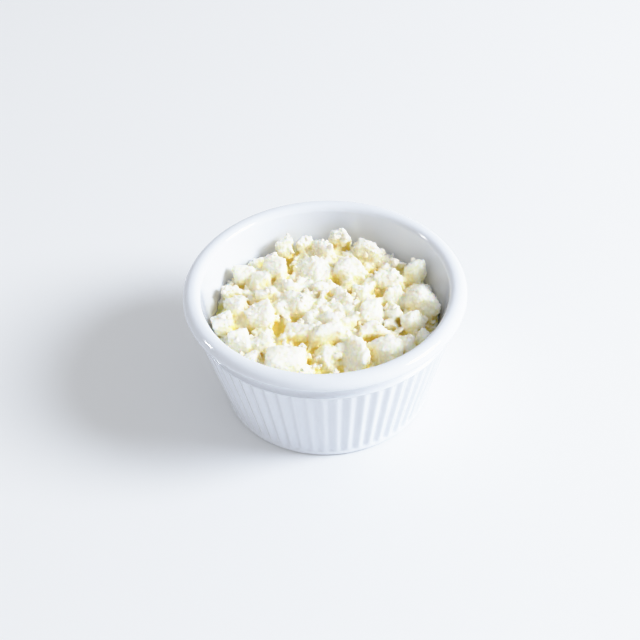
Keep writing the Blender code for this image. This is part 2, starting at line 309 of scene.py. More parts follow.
def dish_section():
    """Half of the dish: its floor, up the inside, over the lip, down the outside and under."""
    lip_edge = DISH_HEIGHT - LIP_INNER_ROLL
    points = inside_section()
    points += arc(LIP_INNER_RADIUS + LIP_INNER_ROLL, lip_edge, LIP_INNER_ROLL, 180, 90)
    points += lip_arcs()
    points += arc(NECK_RADIUS + NECK_COVE, NECK_HEIGHT + NECK_COVE, NECK_COVE, 90, 180)
    points += [(NECK_RADIUS, LEDGE_HEIGHT + NECK_COVE / 2)]
    ledge_edge = LEDGE_HEIGHT - LEDGE_ROLL
    points += arc(reed_crest(ledge_edge) - LEDGE_ROLL, ledge_edge, LEDGE_ROLL, 80, 0)
    points += [(reed_crest(z), z) for z in reed_heights()]
    points += arc(FOOT_RADIUS, FOOT_ROLL, FOOT_ROLL, 0, -90)
    points += [(FOOT_RADIUS - FOOT_WIDTH, 0.0)]
    points += [(FOOT_RADIUS - FOOT_WIDTH - FOOT_RECESS, FOOT_RECESS), (0.0, FOOT_RECESS)]
    return points


print("points in the dish's section:", len(dish_section()))

# %% [markdown]
# Spin turns the section into the dish. Left to itself it makes a seam where the turn closes and
# a knot of corners at each pole, so the ends are merged, doubles are removed, and the normals
# are made to point outwards.

# %% Turning the dish
REED_COUNT = 60
COLUMNS_PER_REED = 10
MERGE_DISTANCE = 0.001 * MM


def turned_form(section, steps):
    """A closed form from a half section of (radius, height) points, spun once round Z."""
    form = bmesh.new()
    corners = [form.verts.new((r, 0.0, z)) for r, z in section]
    lines = [form.edges.new(pair) for pair in zip(corners, corners[1:])]
    bmesh.ops.spin(form, geom=corners + lines, cent=(0, 0, 0), axis=(0, 0, 1),
                   angle=math.tau, steps=steps, use_merge=True)
    bmesh.ops.remove_doubles(form, verts=form.verts, dist=MERGE_DISTANCE)
    bmesh.ops.recalc_face_normals(form, faces=form.faces)
    return form


dish_form = turned_form(dish_section(), REED_COUNT * COLUMNS_PER_REED)
print("faces in the turned dish:", len(dish_form.faces))

# %% [markdown]
# The reeds could be sixty separate rods set on the wall, but the real ones are one moulding with
# it. So they are shaped in the turned form: the corners between the two smooth rings are drawn
# in by a wave that runs sixty times round the dish, and that fades out at the rounded ends.

# %% Reeds
REED_DEPTH = 0.6 * MM
NUDGE = 0.02 * MM


def shape_reeds(form):
    """Draws the wall in between the reeds, by a wave that fades out at their rounded ends."""
    for corner in form.verts:
        z = corner.co.z
        radius = math.hypot(corner.co.x, corner.co.y)
        if not REED_BOTTOM < z < REED_TOP or radius < reed_crest(z) - NUDGE:
            continue
        wave = math.cos(math.atan2(corner.co.y, corner.co.x) * REED_COUNT)
        from_end = min(1.0, (REED_TOP - z) / REED_END, (z - REED_BOTTOM) / REED_FADE)
        sunk = REED_DEPTH * (0.5 + 0.5 * wave) * math.sqrt(1 - (1 - from_end) ** 2)
        corner.co.x *= (radius - sunk) / radius
        corner.co.y *= (radius - sunk) / radius


shape_reeds(dish_form)
print("reeds:", REED_COUNT, "each", REED_DEPTH / MM, "mm deep")

# %% [markdown]
# The glaze is smooth and bright, with a cold cast: a coat of gloss over a pale blue-white body.
# A flat white would look like paper, so the body colour drifts a little from place to place,
# and the gloss is duller on the ring that rubs on the table. The inside is painted a little
# brighter and bluer, as painted light: light goes to and fro between its walls and picks up the
# warm colour of the cheese, and without that painted tint the wall would look yellow. Which
# corners are inside is written on the mesh, and the material reads it by name.

# %% Dish finish
BODY_LIGHT = (0.79, 0.822, 0.878)
BODY_SHADE = (0.765, 0.797, 0.858)
PAINTED_INSIDE_LIGHT = (0.84, 0.885, 0.99)
GLOSS_ROUGHNESS = 0.07
GLOSS_DRIFT = 0.06
FOOT_WEAR = 0.35
FOOT_WEAR_HEIGHT = 1.6 * MM
RIPPLE_HEIGHT = 0.1 * MM
RIPPLE_STRENGTH = 0.03
GLAZE_IOR = 1.5
# where a Mix node keeps its colours: its sockets for numbers come first and have the same names
MIX_COLOUR_A = 6
MIX_COLOUR_B = 7
MIX_COLOUR_RESULT = 2


def glaze_material():
    """Cold white glaze, a little uneven, with painted light inside, and rubbed dull on the foot."""
    material, tree, shader = new_material("ramekin_glaze")
    drift = add_unevenness(tree, broad=45.0, fine=900.0, share=0.25)
    body = ramp(tree, drift, [(NOISE_LOW, BODY_SHADE), (NOISE_HIGH, BODY_LIGHT)])
    # painted light: towards the inside the glaze turns brighter and bluer, to offset the warm light
    # that bounces there
    mixed = add_node(tree, "ShaderNodeMix", {"data_type": "RGBA"}, Factor=stored_value(tree, "inside"))
    tree.links.new(body, mixed.inputs[MIX_COLOUR_A])
    mixed.inputs[MIX_COLOUR_B].default_value = (*PAINTED_INSIDE_LIGHT, 1.0)
    tree.links.new(mixed.outputs[MIX_COLOUR_RESULT], shader.inputs["Base Color"])
    place = add_node(tree, "ShaderNodeTexCoord").outputs["Object"]
    height = add_node(tree, "ShaderNodeSeparateXYZ", Vector=place).outputs["Z"]
    worn = add_node(tree, "ShaderNodeMapRange", Value=height, From_Min=0.0, From_Max=FOOT_WEAR_HEIGHT,
                    To_Min=FOOT_WEAR, To_Max=0.0).outputs["Result"]
    dullness = scale_and_shift(tree, drift, GLOSS_DRIFT, GLOSS_ROUGHNESS - GLOSS_DRIFT / 2)
    tree.links.new(add_values(tree, worn, dullness), shader.inputs["Roughness"])
    ripple = add_node(tree, "ShaderNodeBump", Height=drift, Strength=RIPPLE_STRENGTH,
                      Distance=RIPPLE_HEIGHT)
    tree.links.new(ripple.outputs["Normal"], shader.inputs["Normal"])
    shader.inputs["IOR"].default_value = GLAZE_IOR
    return material


glaze = glaze_material()
print("dish finish:", glaze.name)

# %% [markdown]
# A form becomes a piece in two steps: the bmesh is written to a mesh, and the mesh gets an
# object that rides on the body and stands for a solid. Object and mesh stay at the origin, so
# that the piece's place is in its corners, as it is for the solids.

# %% The dish
INSIDE_FADE = 3.0 * MM


def mesh_from(form, name):
    """Writes a form to a new mesh, and frees the form."""
    mesh = bpy.data.meshes.new(name)
    form.to_mesh(mesh)
    form.free()
    return mesh


def finish_piece(mesh, material, node):
    """Makes a mesh a smooth piece on the body, in place of a solid, which it hides."""
    mesh.shade_smooth()
    mesh.materials.append(material)
    piece = bpy.data.objects.new(mesh.name, mesh)
    scene.collection.objects.link(piece)
    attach(piece, "root")
    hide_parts(node)
    print(piece.name, "triangles:", sum(len(face.vertices) - 2 for face in mesh.polygons))


def mark_inside(mesh):
    """Notes on the mesh how far each corner belongs to the dish's inside, from 0 to 1, where the glaze
    gets its painted light.
    """
    shares = []
    for corner in mesh.vertices:
        x, y, z = corner.co
        past = math.hypot(x, y) - inner_radius(z)
        lower = min(1.0, max(0.0, (DISH_HEIGHT - z) / INSIDE_FADE))
        shares.append(lower if past < NUDGE and z > FLOOR_HEIGHT - NUDGE else 0.0)
    mesh.attributes.new("inside", "FLOAT", "POINT").data.foreach_set("value", shares)


dish_mesh = mesh_from(dish_form, "ramekin_dressed")
mark_inside(dish_mesh)
finish_piece(dish_mesh, glaze, "ramekin")

# %% [markdown]
# The heap starts from the same crumbs as its solid. They could be dropped in by a simulation,
# but the photograph shows where the large ones lie, so they are placed one by one, and small
# ones fill in between. All keep to one low mound, over a bed of plain curd.

# %% The mound
WALL_GAP = 0.3 * MM
MOUND_TOP = 34.6 * MM
MOUND_EDGE = 30.6 * MM
MOUND_RADIUS = 33.0 * MM
BED_DEPTH = 3.8 * MM


def mound_height(radius):
    """Height that the crumbs' tops keep to at a distance from the middle, or at many."""
    fall = np.minimum(1.0, radius / MOUND_RADIUS) ** 2
    return MOUND_TOP - fall * (MOUND_TOP - MOUND_EDGE)


print("the mound falls from", MOUND_TOP / MM, "to", MOUND_EDGE / MM, "mm")

# %% [markdown]
# Each large crumb has a place, the height of its top, a width and a depth, a turn about the
# upright, and how ragged it is: a clean block like the one in front is near 0, and loose curd
# is 1. The numbers are those of the solid's crumbs.

# %% The placed crumbs
Crumb = namedtuple("Crumb", "x y top width depth turn ragged")

# x, y, top, width and depth in millimetres, turn in degrees, and raggedness from 0 to 1
LARGE_CRUMBS = (
    # the far side, from left to right
    (-23.8, 15.8, 33.8, 7.2, 7.0, 10, 0.4),
    (-18.8, 12.0, 34.6, 7.0, 8.0, 20, 0.4),
    (-14.6, 16.8, 35.2, 9.6, 10.0, -15, 0.5),
    (-11.4, 26.4, 35.0, 7.2, 5.5, 35, 1.0),
    (-5.4, 28.4, 34.6, 6.0, 5.5, 10, 0.8),
    (0.2, 25.2, 35.0, 8.0, 7.0, -20, 0.7),
    (5.4, 29.0, 36.4, 7.4, 6.0, 15, 1.0),
    (14.4, 24.2, 35.2, 12.0, 7.5, -25, 1.0),
    (21.8, 18.4, 32.6, 5.0, 5.0, 30, 0.6),
    (27.4, 12.6, 36.0, 6.2, 5.5, 40, 0.35),
    # the middle
    (-3.6, 14.4, 35.2, 13.4, 11.0, 5, 0.6),
    (8.1, 14.0, 35.2, 10.0, 11.5, 60, 0.6),
    (18.9, 9.4, 34.6, 9.2, 8.4, 20, 0.6),
    (-17.6, 5.2, 34.4, 8.0, 6.0, 20, 0.6),
    (-9.4, 7.4, 34.6, 7.0, 5.4, 0, 0.7),
    (-1.2, 6.4, 34.6, 7.2, 4.8, -10, 0.7),
    (10.8, 4.6, 34.8, 6.4, 6.0, 30, 0.6),
    (20.2, 3.4, 33.8, 7.0, 5.6, 15, 0.6),
    (-19.0, -3.8, 35.0, 8.4, 10.0, 6, 0.4),
    (-12.6, -1.6, 34.0, 5.0, 4.6, 40, 0.7),
    (-6.4, -0.4, 35.0, 13.4, 8.6, -8, 0.7),
    (5.0, 1.2, 35.2, 8.4, 7.6, 25, 0.6),
    (12.8, -4.6, 34.8, 8.4, 7.6, 50, 0.5),
    (19.6, -4.8, 34.0, 6.0, 6.5, 10, 0.6),
    (1.4, -7.6, 34.6, 7.6, 5.4, 0, 0.5),
    (6.6, -8.4, 34.2, 5.2, 4.6, 20, 0.5),
    (-8.6, -10.4, 33.4, 7.8, 6.0, -10, 0.4),
    (13.6, -11.4, 34.2, 11.6, 6.4, 8, 0.6),
    # the right edge
    (28.6, 0.4, 36.4, 10.0, 12.8, 12, 0.45),
    (24.8, -7.8, 34.4, 8.2, 6.4, 25, 0.5),
    (22.2, -16.0, 33.0, 5.8, 6.5, -30, 0.6),
    (27.4, -14.4, 32.6, 5.6, 5.0, 40, 0.7),
    # the left edge
    (-28.0, 8.8, 33.2, 6.6, 6.4, 40, 1.0),
    (-25.8, 0.4, 34.2, 6.8, 10.4, 5, 0.6),
    (-30.4, -6.2, 34.2, 7.2, 7.4, 15, 0.7),
    (-24.6, -13.2, 33.6, 8.8, 8.4, 30, 0.5),
    # the near side
    (-18.0, -14.8, 33.8, 7.8, 6.4, -20, 0.5),
    (-20.8, -20.4, 33.0, 7.0, 6.0, 35, 0.5),
    (-11.8, -22.8, 34.8, 12.2, 8.6, -4, 0.2),
    (0.4, -13.0, 34.8, 10.6, 5.4, 2, 0.25),
    (-0.2, -19.6, 32.0, 7.6, 10.0, 8, 0.4),
    (7.9, -21.4, 34.8, 8.4, 12.4, 4, 0.5),
    (16.2, -19.6, 34.6, 9.8, 8.6, 24, 0.4),
)

large_crumbs = [Crumb(x * MM, y * MM, top * MM, width * MM, depth * MM, turn, ragged)
                for x, y, top, width, depth, turn, ragged in LARGE_CRUMBS]
print("large crumbs:", len(large_crumbs))

# %% [markdown]
# The heap is as much gaps as crumbs: between some of them the eye falls deep into the curd, and
# there the shade is painted golden. Chance alone would stop most of these gaps up, so the ones
# that show are listed too. Small crumbs keep out of them, the bed is dug out under them, and the
# finish has more painted golden shade in them.

# %% The open gaps
Gap = namedtuple("Gap", "x y reach")
GAP_CLEARANCE = 0.3
GAP_MARGIN = 1.0 * MM

# x, y and reach in millimetres
GAPS = (
    (-11.0, 22.5, 1.8),
    (-10.1, 17.2, 1.5),
    (2.6, 11.4, 1.7),
    (6.5, 20.0, 1.3),
    (15.8, 16.6, 1.9),
    (15.7, 4.8, 1.5),
    (8.4, 6.4, 1.3),
    (20.8, -2.4, 1.3),
    (-25.0, 12.4, 1.2),
    (-13.8, -8.0, 2.3),
    (-8.6, -4.8, 1.3),
    (-26.6, -7.4, 1.3),
    (-21.9, -8.2, 1.5),
    (-7.4, -14.4, 1.9),
    (-3.0, -17.2, 1.9),
    (1.6, -16.4, 1.2),
    (-5.0, -21.6, 0.8),
    (3.4, -24.6, 1.3),
    (-1.2, -26.4, 1.9),
    (12.6, -15.4, 2.2),
    (14.2, -25.4, 1.5),
    (20.6, -18.4, 1.3),
    (29.4, -8.4, 1.4),
    (-31.6, 6.0, 1.3),
    (-31.4, 2.0, 1.5),
    (-31.0, -1.6, 1.2),
)

gaps = [Gap(x * MM, y * MM, reach * MM) for x, y, reach in GAPS]


def in_gap(x, y, width):
    """Whether a crumb of this width would stop up one of the gaps."""
    return any(math.hypot(x - gap.x, y - gap.y) < gap.reach + GAP_CLEARANCE * width for gap in gaps)


def gap_depth(x, y):
    """How far each spot lies into a gap, from 0 outside to 1 in its middle."""
    depth = np.zeros(np.shape(x))
    for gap in gaps:
        apart = np.hypot(x - gap.x, y - gap.y) / (gap.reach + GAP_MARGIN)
        depth = np.maximum(depth, 1 - apart ** 2)
    return depth


print("open gaps:", len(gaps))

# %% [markdown]
# The small crumbs between could be drawn at random, but random places clot and leave holes. A
# sunflower spiral, where each place is a golden angle on from the last, covers the heap evenly.
# A place is left out where a large crumb or a gap already is.

# %% The crumbs between
SMALL_CRUMBS = 190
SMALL_CRUMB_WIDTH = (4.0 * MM, 7.2 * MM)
SMALL_CRUMB_DEPTH = (0.75, 1.1)
SMALL_CRUMB_DROP = 1.8 * MM
SMALL_CRUMB_CLEARANCE = 0.33
SMALL_CRUMB_RAGGEDNESS = 0.6
QUARTER_TURN = 90
GOLDEN_ANGLE = math.pi * (3 - math.sqrt(5))
SEED = 7


def under_large_crumb(x, y, width):
    """Whether a large crumb takes this place."""
    for other in large_crumbs:
        apart = math.hypot(x - other.x, y - other.y)
        if apart < SMALL_CRUMB_CLEARANCE * (width + (other.width + other.depth) / 2):
            return True
    return False


def crumbs_between():
    """The small crumbs, spread evenly by the golden angle, where there is room for them."""
    draw = random.Random(SEED)
    crumbs = []
    for i in range(SMALL_CRUMBS):
        radius = MOUND_RADIUS * math.sqrt((i + 0.5) / SMALL_CRUMBS)
        x = radius * math.cos(i * GOLDEN_ANGLE)
        y = radius * math.sin(i * GOLDEN_ANGLE)
        width = draw.uniform(*SMALL_CRUMB_WIDTH)
        depth = width * draw.uniform(*SMALL_CRUMB_DEPTH)
        top = mound_height(radius) - draw.uniform(0.0, SMALL_CRUMB_DROP)
        turn = draw.uniform(0, QUARTER_TURN)
        if not under_large_crumb(x, y, width) and not in_gap(x, y, width):
            crumbs.append(Crumb(x, y, top, width, depth, turn, SMALL_CRUMB_RAGGEDNESS))
    return crumbs


small_crumbs = crumbs_between()
print("small crumbs:", len(small_crumbs))

# %% [markdown]
# Pressed cheese breaks into blocks with flat faces and uneven corners. A cube with moved corners
# would do for the cleanest, but it keeps six faces however it is bent. A hull has as many as its
# points ask for: eight are a box's corners, drawn in more the more ragged the crumb is, and a
# few bulge the sides. The block is then stretched, leaned, turned and set in its place.

# %% Broken blocks
LARGE_CRUMB_BULGES = 10
SMALL_CRUMB_BULGES = 4
CORNER_LOSS = (0.1, 1.5)
CORNER_SHIFT = 0.45
BOXINESS = 3.2
MOST_LEAN = 20
CRUMB_ROOT = 1.0 * MM
SEEDS_APART = 1000


def fill_unit_box(form):
    """Stretches a form so that it just fills a box one unit wide about the origin."""
    for axis in range(3):
        low = min(corner.co[axis] for corner in form.verts)
        high = max(corner.co[axis] for corner in form.verts)
        for corner in form.verts:
            corner.co[axis] = (corner.co[axis] - low) / (high - low) - 0.5


def unit_block(draw, ragged, bulges):
    """A block one unit wide: the hull of a box's uneven corners and of points on its bulges."""
    form = bmesh.new()
    loss = min(1.0, CORNER_LOSS[0] + CORNER_LOSS[1] * ragged)
    for sides in itertools.product((-0.5, 0.5), repeat=3):
        form.verts.new([side * (1 - loss * draw.random()) for side in sides])
    for i in range(bulges):
        level = 1 - (2 * i + 1) / bulges
        ring = math.sqrt(1 - level * level)
        corner = Vector((ring * math.cos(i * GOLDEN_ANGLE), ring * math.sin(i * GOLDEN_ANGLE), level))
        corner += Vector([draw.uniform(-CORNER_SHIFT, CORNER_SHIFT) for _ in range(3)])
        reach = sum(abs(part) ** BOXINESS for part in corner) ** (1 / BOXINESS)
        form.verts.new(corner / reach / 2)
    bmesh.ops.convex_hull(form, input=form.verts)
    fill_unit_box(form)
    return form


def keep_in_dish(form, x, y):
    """Moves a block towards the middle until it clears the dish's wall."""
    inward = -Vector((x, y, 0.0)).normalized()
    while True:
        past = max(math.hypot(c.co.x, c.co.y) - inner_radius(c.co.z) + WALL_GAP for c in form.verts)
        if past <= 0:
            return
        bmesh.ops.translate(form, vec=inward * (past + NUDGE), verts=form.verts)


def broken_block(crumb, number, height):
    """A crumb's rough block, of this height, in its place in the dish."""
    draw = random.Random(SEED * SEEDS_APART + number)
    bulges = LARGE_CRUMB_BULGES if number < len(large_crumbs) else SMALL_CRUMB_BULGES
    form = unit_block(draw, crumb.ragged, bulges)
    most_lean = MOST_LEAN * crumb.ragged
    lean = Matrix.Rotation(math.radians(draw.uniform(-most_lean, most_lean)), 4, "X")
    spin = Matrix.Rotation(math.radians(crumb.turn), 4, "Z")
    size = Matrix.Diagonal((crumb.width, crumb.depth, height, 1.0))
    bmesh.ops.transform(form, matrix=spin @ lean @ size, verts=form.verts)
    lift = crumb.top - max(corner.co.z for corner in form.verts)
    bmesh.ops.translate(form, vec=(crumb.x, crumb.y, lift), verts=form.verts)
    keep_in_dish(form, crumb.x, crumb.y)
    bmesh.ops.recalc_face_normals(form, faces=form.faces)
    return form


def rooted_height(crumb):
    """Height that takes a crumb's block down into the bed."""
    bed_top = mound_height(math.hypot(crumb.x, crumb.y)) - BED_DEPTH
    return max((crumb.width + crumb.depth) / 2, crumb.top - bed_top + CRUMB_ROOT)


crumbs = large_crumbs + small_crumbs
blocks = [broken_block(crumb, number, rooted_height(crumb)) for number, crumb in enumerate(crumbs)]
print("blocks:", len(blocks))

# %% [markdown]
# Most of a crumb is buried. To spend the faces where they show, the heap needs to know its own
# outline from above: a height map, read by dropping a ray on each block over a fine grid. The
# same kind of map later tells how open or how sunken each spot is.

# %% Height map
CELL = 0.35 * MM
HALF_CELLS = 104
MAP_CELLS = 2 * HALF_CELLS + 1
SKY = 60.0 * MM
DOWN = Vector((0, 0, -1))
BED_RAGGEDNESS = 0.8


def cell_of(values):
    """The map's row or column that holds each coordinate."""
    return np.clip(np.rint(np.asarray(values) / CELL).astype(int) + HALF_CELLS, 0, MAP_CELLS - 1)


def middle_of(cells):
    """The coordinate in the middle of each row or column."""
    return (cells - HALF_CELLS) * CELL


def stamp_block(form, ragged):
    """Raises the map to a block's top wherever the block lies, and notes how ragged it is."""
    tree = BVHTree.FromBMesh(form)
    xs = [corner.co.x for corner in form.verts]
    ys = [corner.co.y for corner in form.verts]
    for row in range(cell_of(min(xs)), cell_of(max(xs)) + 1):
        for column in range(cell_of(min(ys)), cell_of(max(ys)) + 1):
            hit = tree.ray_cast(Vector((middle_of(row), middle_of(column), SKY)), DOWN)[0]
            if hit and hit.z > block_heights[row, column]:
                block_heights[row, column] = hit.z
                raggedness_map[row, column] = ragged


grid = middle_of(np.arange(MAP_CELLS))
bed_heights = mound_height(np.hypot(grid[:, None], grid[None, :])) - BED_DEPTH
block_heights = bed_heights.copy()
raggedness_map = np.full_like(block_heights, BED_RAGGEDNESS)
for block, crumb in zip(blocks, crumbs):
    stamp_block(block, crumb.ragged)
print("heap rises to", round(block_heights.max() / MM, 1), "mm")

# %% [markdown]
# What is still open is filled the way a spoonful of crumbs settles: a spot is drawn at random,
# and a crumb is laid there only if the heap is still low. Each one raises the map, so the next
# look for the hollows that are left. A rigid body simulation would do it too, but it is slower,
# and hard to keep out of the open gaps.

# %% Settled crumbs
SETTLE_TRIES = 2600
SETTLED_WIDTH = (2.4 * MM, 4.8 * MM)
SETTLED_DROP = (0.5 * MM, 2.6 * MM)
SETTLED_MOST_PROUD = 0.7
SETTLED_LEAST_PROUD = 1 / 3
SETTLED_NUMBERS = 1000


def settled_blocks():
    """Crumbs laid one after another in the low spots of the heap, each with its block."""
    draw = random.Random(SEED + 1)
    laid = []
    for number in range(SETTLE_TRIES):
        radius = MOUND_RADIUS * math.sqrt(draw.random())
        angle = draw.uniform(0, math.tau)
        width = draw.uniform(*SETTLED_WIDTH)
        depth = width * draw.uniform(*SMALL_CRUMB_DEPTH)
        drop = draw.uniform(*SETTLED_DROP)
        turn = draw.uniform(0, QUARTER_TURN)
        x = radius * math.cos(angle)
        y = radius * math.sin(angle)
        ground = block_heights[cell_of(x), cell_of(y)]
        top = min(mound_height(radius) - drop, ground + width * SETTLED_MOST_PROUD)
        if top < ground + width * SETTLED_LEAST_PROUD or in_gap(x, y, width):
            continue
        crumb = Crumb(x, y, top, width, depth, turn, SMALL_CRUMB_RAGGEDNESS)
        block = broken_block(crumb, SETTLED_NUMBERS + number, (width + depth) / 2)
        stamp_block(block, crumb.ragged)
        laid.append((block, crumb))
    return laid


settled = settled_blocks()
print("settled crumbs:", len(settled))

# %% [markdown]
# Feta breaks into lumps of curd, each lump into grains. A rounded Voronoi pattern gives that
# look: every cell swells into a small dome, and neighbouring domes meet in a crease. The lumps
# are raised on each crumb before the crumbs are fused, and the grains on the fused heap, both
# more so on ragged crumbs. A bump in the finish would be cheaper, but this is real relief in
# the mesh, so it also makes the ragged outlines.

# %% Curd relief
BROAD = 5.0 * MM
BROAD_RISE = 0.7 * MM
LUMP = 2.9 * MM
LUMP_RISE = 0.9 * MM
LUMP_LEVEL = 0.5
GRAIN = 1.2 * MM
GRAIN_RISE = 0.8 * MM
GRAIN_LEVEL = 0.4
FINE = 0.55 * MM
FINE_RISE = 0.28 * MM
DOME_REACH = 0.75
DOME_SPREAD = 5.3
LOWEST_DOME = 0.25
CLEAN_LUMPS = 0.25
CLEAN_GRAINS = 0.45


def at_least(least, share):
    """A share from 0 to 1, fitted in between a least value and 1."""
    return least + (1 - least) * share


def dome(point, size):
    """How high a spot is on its curd dome, from 0 in a crease to 1 on a tall dome."""
    distances, centres = noise.voronoi(point / size)
    tallness = 0.5 + 0.5 * noise.noise(centres[0] * DOME_SPREAD)
    return max(0.0, 1 - (distances[0] / DOME_REACH) ** 2) * at_least(LOWEST_DOME, tallness)


def lump_relief(point, ragged):
    """How far the lumps stand out from a crumb's block at a point."""
    broad = noise.noise(point / BROAD) * BROAD_RISE
    return broad + (dome(point, LUMP) - LUMP_LEVEL) * LUMP_RISE * at_least(CLEAN_LUMPS, ragged)


def grain_relief(point, ragged):
    """How far the grains stand out from the fused heap at a point."""
    grains = (dome(point, GRAIN) - GRAIN_LEVEL) * GRAIN_RISE * at_least(CLEAN_GRAINS, ragged)
    return grains + noise.noise(point / FINE) * FINE_RISE


print("curd lumps of", LUMP / MM, "mm and grains of", GRAIN / MM, "mm")

# %% [markdown]
# A crumb's skin starts as a ball of triangles round the block's middle. Subdividing the block
# itself would keep its long thin hull faces. Instead each corner of the ball is dropped on to
# the block along its own ray, the shown part is divided until its edges are short enough, and
# the edges are rubbed soft before the lumps are raised along the normals.

# %% Crumb skins
LARGE_BALL_CUTS = 4
SMALL_BALL_CUTS = 3
MOST_ROUNDS = 2
SKIN_EDGE = 0.75 * MM
SKIN_SMOOTHING = 0.5
LOW_GROUND_CELLS = 3
SHOWN_MARGIN = 1.6 * MM


def lowest_nearby(heights, cells):
    """Gives each cell the lowest height that lies up to this many cells from it."""
    for axis in (0, 1):
        moved = [np.roll(heights, shift, axis) for shift in range(-cells, cells + 1)]
        heights = np.minimum.reduce(moved)
    return heights


low_ground = lowest_nearby(block_heights, LOW_GROUND_CELLS)


def shown(points, margin=SHOWN_MARGIN):
    """Which points are near enough to the heap's top surface to be seen."""
    ground = low_ground[cell_of(points[:, 0]), cell_of(points[:, 1])]
    return points[:, 2] > ground - margin


def long_shown_edges(form):
    """The edges that are longer than they should be where the skin shows."""
    lines = list(form.edges)
    ends = np.array([(*line.verts[0].co, *line.verts[1].co) for line in lines])
    too_long = np.linalg.norm(ends[:, :3] - ends[:, 3:], axis=1) > SKIN_EDGE
    picked = too_long & shown((ends[:, :3] + ends[:, 3:]) / 2)
    return [lines[i] for i in np.flatnonzero(picked)]


def rub_soft(form, factor):
    """Moves each corner part of the way to the middle of its neighbours."""
    bmesh.ops.smooth_vert(form, verts=form.verts, factor=factor,
                          use_axis_x=True, use_axis_y=True, use_axis_z=True)
    form.normal_update()


def crumb_skin(block, crumb, cuts):
    """A closed skin over one block, finer where it shows, with its lumps raised."""
    tree = BVHTree.FromBMesh(block)
    middle = sum((corner.co for corner in block.verts), Vector()) / len(block.verts)
    form = bmesh.new()
    bmesh.ops.create_icosphere(form, subdivisions=cuts, radius=1.0)
    for corner in form.verts:
        x, y, z = corner.co
        heading = Vector((x * crumb.width, y * crumb.depth, z * crumb.width))
        corner.co = tree.ray_cast(middle, heading)[0] or middle
    for _ in range(MOST_ROUNDS):
        bmesh.ops.subdivide_edges(form, edges=long_shown_edges(form), cuts=1)
        bmesh.ops.triangulate(form, faces=[face for face in form.faces if len(face.verts) > 3])
    rub_soft(form, SKIN_SMOOTHING)
    moves = [corner.normal * lump_relief(corner.co, crumb.ragged) for corner in form.verts]
    for corner, move in zip(form.verts, moves):
        corner.co += move
    return form


skins = []
for number, (block, crumb) in enumerate(list(zip(blocks, crumbs)) + settled):
    cuts = LARGE_BALL_CUTS if number < len(large_crumbs) else SMALL_BALL_CUTS
    skins.append(crumb_skin(block, crumb, cuts))
print("crumb skins:", len(skins), "with faces:", sum(len(skin.faces) for skin in skins))

# %% [markdown]
# Under the crumbs lies the bed, so that the eye doesn't fall between them to the floor of the
# dish. It is turned from its section like the dish: a domed top that follows the mound, dug out
# below the open gaps, and a flat underside.

# %% Bed of curd
BED_BOTTOM = 24.4 * MM
BED_RINGS = 24
BED_COLUMNS = 120
GAP_DIG = 2.0 * MM


def bed_section(bottom):
    """Half of the layer that the crumbs lie in: its domed top, its edge and its flat underside."""
    rim = inner_radius(MOUND_EDGE - BED_DEPTH) - WALL_GAP
    radii = [rim * i / BED_RINGS for i in range(BED_RINGS + 1)]
    top = [(radius, mound_height(radius) - BED_DEPTH) for radius in radii]
    return top + [(inner_radius(bottom) - WALL_GAP, bottom), (0.0, bottom)]


def dig_gaps(form):
    """Sinks the bed's top below the open gaps."""
    for corner in form.verts:
        if corner.co.z > BED_BOTTOM + GAP_DIG:
            corner.co.z -= GAP_DIG * float(gap_depth(corner.co.x, corner.co.y))


bed = turned_form(bed_section(BED_BOTTOM), BED_COLUMNS)
dig_gaps(bed)
print("bed faces:", len(bed.faces))

# %% [markdown]
# Moist crumbs stick together, so the heap isn't a pile of separate stones: the crumbs melt into
# each other where they touch. A Boolean union keeps every crease knife-sharp. A voxel remesh
# fuses them instead, with soft joins, and leaves one even skin without the buried parts. Light
# can then travel through the whole heap, as it does in cheese. The fused heap's underside is
# cut flat, where the plain core takes over.

# %% Fused heap
VOXEL = 0.347 * MM
BED_CUT = 24.9 * MM
HEAP_SMOOTHING = 0.25


def joined(forms):
    """One form from many closed forms."""
    whole = bmesh.new()
    for form in forms:
        part = mesh_from(form, "part")
        whole.from_mesh(part)
        bpy.data.meshes.remove(part)
    return whole


def fused(mesh, voxel):
    """The mesh's outer skin, remade on a grid of voxels."""
    item = bpy.data.objects.new(mesh.name, mesh)
    scene.collection.objects.link(item)
    remesh = item.modifiers.new("fuse", "REMESH")
    remesh.mode = "VOXEL"
    remesh.voxel_size = voxel
    bpy.context.view_layer.update()
    skin = bpy.data.meshes.new_from_object(item.evaluated_get(bpy.context.evaluated_depsgraph_get()))
    bpy.data.objects.remove(item)
    form = bmesh.new()
    form.from_mesh(skin)
    bpy.data.meshes.remove(skin)
    return form


def cut_flat(form, height):
    """Cuts a form off at a height and closes it with one flat face."""
    everything = list(form.verts) + list(form.edges) + list(form.faces)
    cut = bmesh.ops.bisect_plane(form, geom=everything, plane_co=(0, 0, height),
                                 plane_no=(0, 0, 1), clear_inner=True)
    rim = [item for item in cut["geom_cut"] if isinstance(item, bmesh.types.BMEdge)]
    bmesh.ops.edgeloop_fill(form, edges=rim)


heap_form = fused(mesh_from(joined(skins + [bed]), "heap"), VOXEL)
cut_flat(heap_form, BED_CUT)
rub_soft(heap_form, HEAP_SMOOTHING)
print("fused heap faces:", len(heap_form.faces))

# %% [markdown]
# The grains are the last relief. They are raised on the fused skin, as rough as the crumb that
# lay under each spot. Where one would touch the dish's wall, it is pulled back in, so that
# cheese and dish never cut through each other. The flat underside stays as it is.

# %% Grains of curd


def ragged_at(x, y):
    """How ragged the crumb under each spot is."""
    return raggedness_map[cell_of(x), cell_of(y)]


